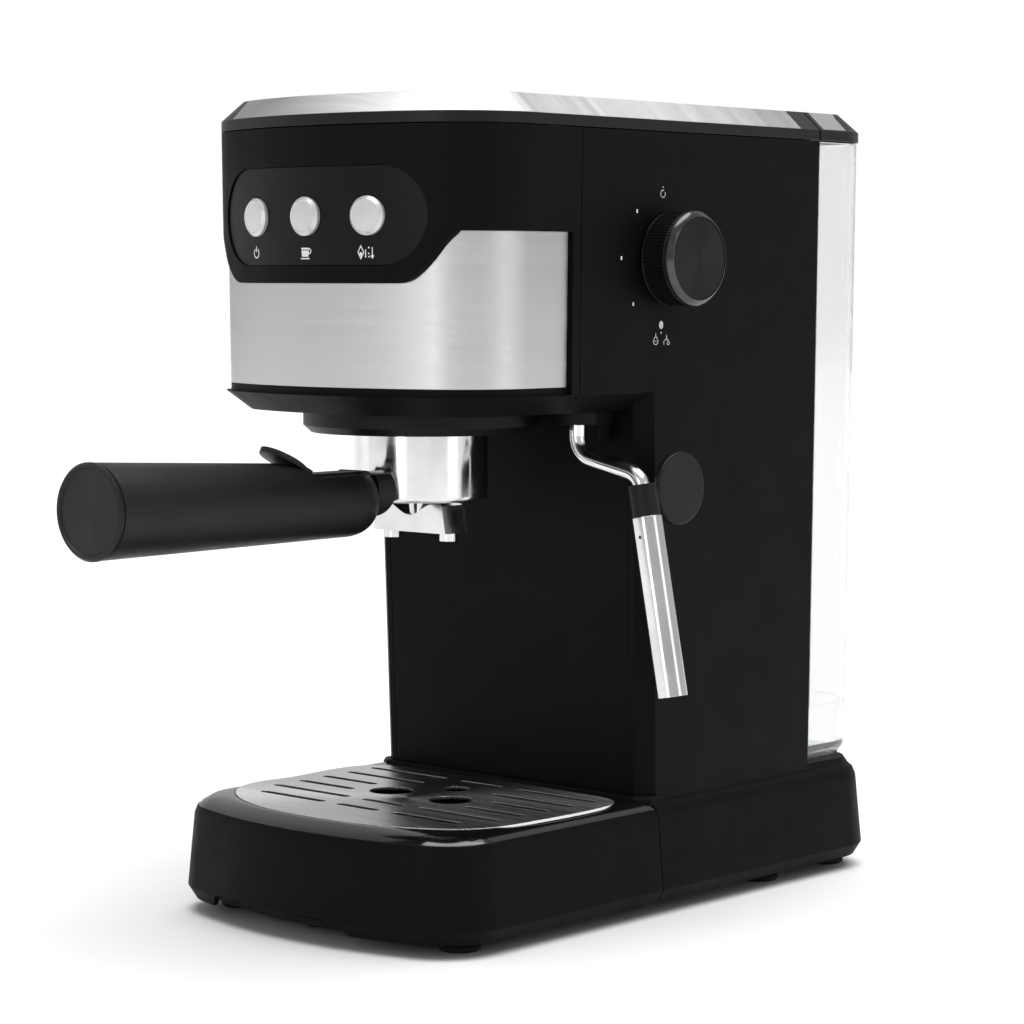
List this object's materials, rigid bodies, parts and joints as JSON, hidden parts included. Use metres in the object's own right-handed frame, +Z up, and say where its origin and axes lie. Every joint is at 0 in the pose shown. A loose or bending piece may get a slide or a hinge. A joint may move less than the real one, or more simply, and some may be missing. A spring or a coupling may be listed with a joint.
{
  "type": "pump espresso machine",
  "caption": "Slim countertop pump espresso machine: bayonet portafilter, swivelling steam wand, steam dial, push buttons, pull-out drip tray and lift-off rear water tank.",
  "frame": {"origin": "on the standing surface, on the machine's middle plane, under the lower edge of the column's front face", "axes": "+Z up; +X to the right of a person standing in front of the machine; -Y towards that person, so the tank is at +Y"},
  "size_m": [0.1987, 0.4031, 0.34],
  "materials": {
    "shell_plastic": "fine moulded texture",
    "rim_plastic": "satin",
    "inner_plastic": "satin",
    "deck_plastic": "polished",
    "panel_plastic": "polished",
    "steel_sheet": "long brushed grain",
    "button_satin": "metallised satin",
    "collar_plastic": "satin",
    "chrome_bright": "mirror bright",
    "pipe_steel": "polished",
    "group_aluminium": "machined casting",
    "seal_rubber": "matt",
    "screen_steel": "pressed",
    "thermostat_case": "drawn",
    "pump_plastic": "moulded",
    "coil_paint": "lacquered",
    "plunger_steel": "ground",
    "bracket_steel": "galvanised",
    "hose_silicone": "satin",
    "valve_brass": "turned",
    "dial_plastic": "ribbed",
    "dial_disc": "radially brushed, dark anodised",
    "grip_plastic": "satin",
    "handle_plastic": "satin",
    "handle_disc": "radially brushed, dark anodised",
    "clip_plastic": "satin",
    "board_laminate": "lacquered",
    "tank_clear": "clear moulded",
    "valve_plastic": "moulded",
    "gland_rubber": "matt",
    "foot_rubber": "matt"
  },
  "bodies": {
    "housing": {"head_front_shell": "shell_plastic", "steel_front_plate": "steel_sheet", "control_panel": "panel_plastic", "side_panel_left": "shell_plastic", "side_panel_right": "shell_plastic", "head_underside": "shell_plastic", "column_front_panel": "shell_plastic", "tank_bay_wall": "inner_plastic", "top_frame": "rim_plastic", "cup_warmer_plate": "steel_sheet", "base_housing": "shell_plastic", "base_floor_plate": "inner_plastic", "group_collar": "collar_plastic", "group_head": "group_aluminium", "group_gasket": "seal_rubber", "shower_screen": "screen_steel", "boiler_body": "group_aluminium", "boiler_cover": "group_aluminium", "boiler_screws": "screen_steel", "boiler_thermostats": "thermostat_case", "pump_body": "pump_plastic", "pump_coil": "coil_paint", "pump_bracket": "bracket_steel", "pump_spring": "plunger_steel", "boiler_feed_hose": "hose_silicone", "tank_hose": "hose_silicone", "steam_valve_body": "valve_brass", "wand_feed_pipe": "pipe_steel", "boiler_steam_pipe": "pipe_steel", "wand_swivel_boss": "inner_plastic", "button_board": "board_laminate", "tank_socket": "valve_plastic", "mains_lead_gland": "gland_rubber", "rubber_feet": "foot_rubber"},
    "drip_tray": {"tray_shell": "shell_plastic", "tray_deck": "deck_plastic", "drip_pan": "inner_plastic"},
    "grille": {"drip_grille": "steel_sheet"},
    "portafilter": {"portafilter_cup": "chrome_bright", "filter_basket": "screen_steel", "handle_ferrule": "handle_plastic", "portafilter_handle": "handle_plastic", "handle_cap": "handle_disc", "twin_spout": "chrome_bright"},
    "clip": {"basket_clip": "clip_plastic"},
    "steam_wand": {"wand_pipe": "pipe_steel", "wand_grip": "grip_plastic"},
    "frother": {"frother_sleeve": "chrome_bright"},
    "dial": {"dial_knob": "dial_plastic", "dial_cap": "dial_disc", "steam_valve_stem": "valve_brass"},
    "power_button": {"button_power": "button_satin"},
    "coffee_button": {"button_coffee": "button_satin"},
    "steam_button": {"button_steam": "button_satin"},
    "tank": {"water_tank": "tank_clear", "tank_valve_cage": "valve_plastic"},
    "lid": {"tank_lid": "rim_plastic", "tank_lid_inset": "steel_sheet"},
    "outlet_valve": {"tank_valve": "valve_plastic"},
    "plunger": {"pump_plunger": "plunger_steel"}
  },
  "joints": [
    {"name": "tray_pull", "type": "slide", "parent": "housing", "child": "drip_tray", "axis": [0, -1, 0], "range_m": [0, 0.12]},
    {"name": "grille_lift", "type": "slide", "parent": "drip_tray", "child": "grille", "axis": [0, 0, 1], "range_m": [0, 0.03]},
    {"name": "portafilter_turn", "type": "hinge", "parent": "housing", "child": "portafilter", "pos_m": [0, -0.0628, 0.208], "axis": [0, 0, 1], "range_deg": [-45, 0]},
    {"name": "basket_clip_tip", "type": "hinge", "parent": "portafilter", "child": "clip", "pos_m": [0, -0.1026, 0.185], "axis": [-1, 0, 0], "range_deg": [0, 30]},
    {"name": "wand_swivel", "type": "hinge", "parent": "housing", "child": "steam_wand", "pos_m": [0.0568, -0.028, 0.21], "axis": [0, 0, 1], "range_deg": [-90, 8]},
    {"name": "frother_slide", "type": "slide", "parent": "steam_wand", "child": "frother", "axis": [0.1905, 0, -0.9817], "range_m": [0, 0.06]},
    {"name": "dial_turn", "type": "hinge", "parent": "housing", "child": "dial", "pos_m": [0.09, 0.002, 0.275], "axis": [1, 0, 0], "range_deg": [0, 180]},
    {"name": "power_press", "type": "slide", "parent": "housing", "child": "power_button", "axis": [0.2113, 0.9774, 0], "range_m": [0, 0.0015], "stiffness_N_per_m": 400, "springref_m": -0.0015},
    {"name": "coffee_press", "type": "slide", "parent": "housing", "child": "coffee_button", "axis": [0, 1, 0], "range_m": [0, 0.0015], "stiffness_N_per_m": 400, "springref_m": -0.0015},
    {"name": "steam_press", "type": "slide", "parent": "housing", "child": "steam_button", "axis": [-0.2113, 0.9774, 0], "range_m": [0, 0.0015], "stiffness_N_per_m": 400, "springref_m": -0.0015},
    {"name": "tank_lift", "type": "slide", "parent": "housing", "child": "tank", "axis": [0, 0, 1], "range_m": [0, 0.1]},
    {"name": "tank_lid_hinge", "type": "hinge", "parent": "tank", "child": "lid", "pos_m": [0, 0.1536, 0.3254], "axis": [-1, 0, 0], "range_deg": [0, 100]},
    {"name": "outlet_valve_lift", "type": "slide", "parent": "tank", "child": "outlet_valve", "axis": [0, 0, 1], "range_m": [0, 0.003], "stiffness_N_per_m": 60, "springref_m": -0.002},
    {"name": "plunger_stroke", "type": "slide", "parent": "housing", "child": "plunger", "axis": [0, 0, 1], "range_m": [-0.0015, 0.0015], "stiffness_N_per_m": 1500, "springref_m": 0.0001, "deforming": ["pump_spring"]}
  ]
}
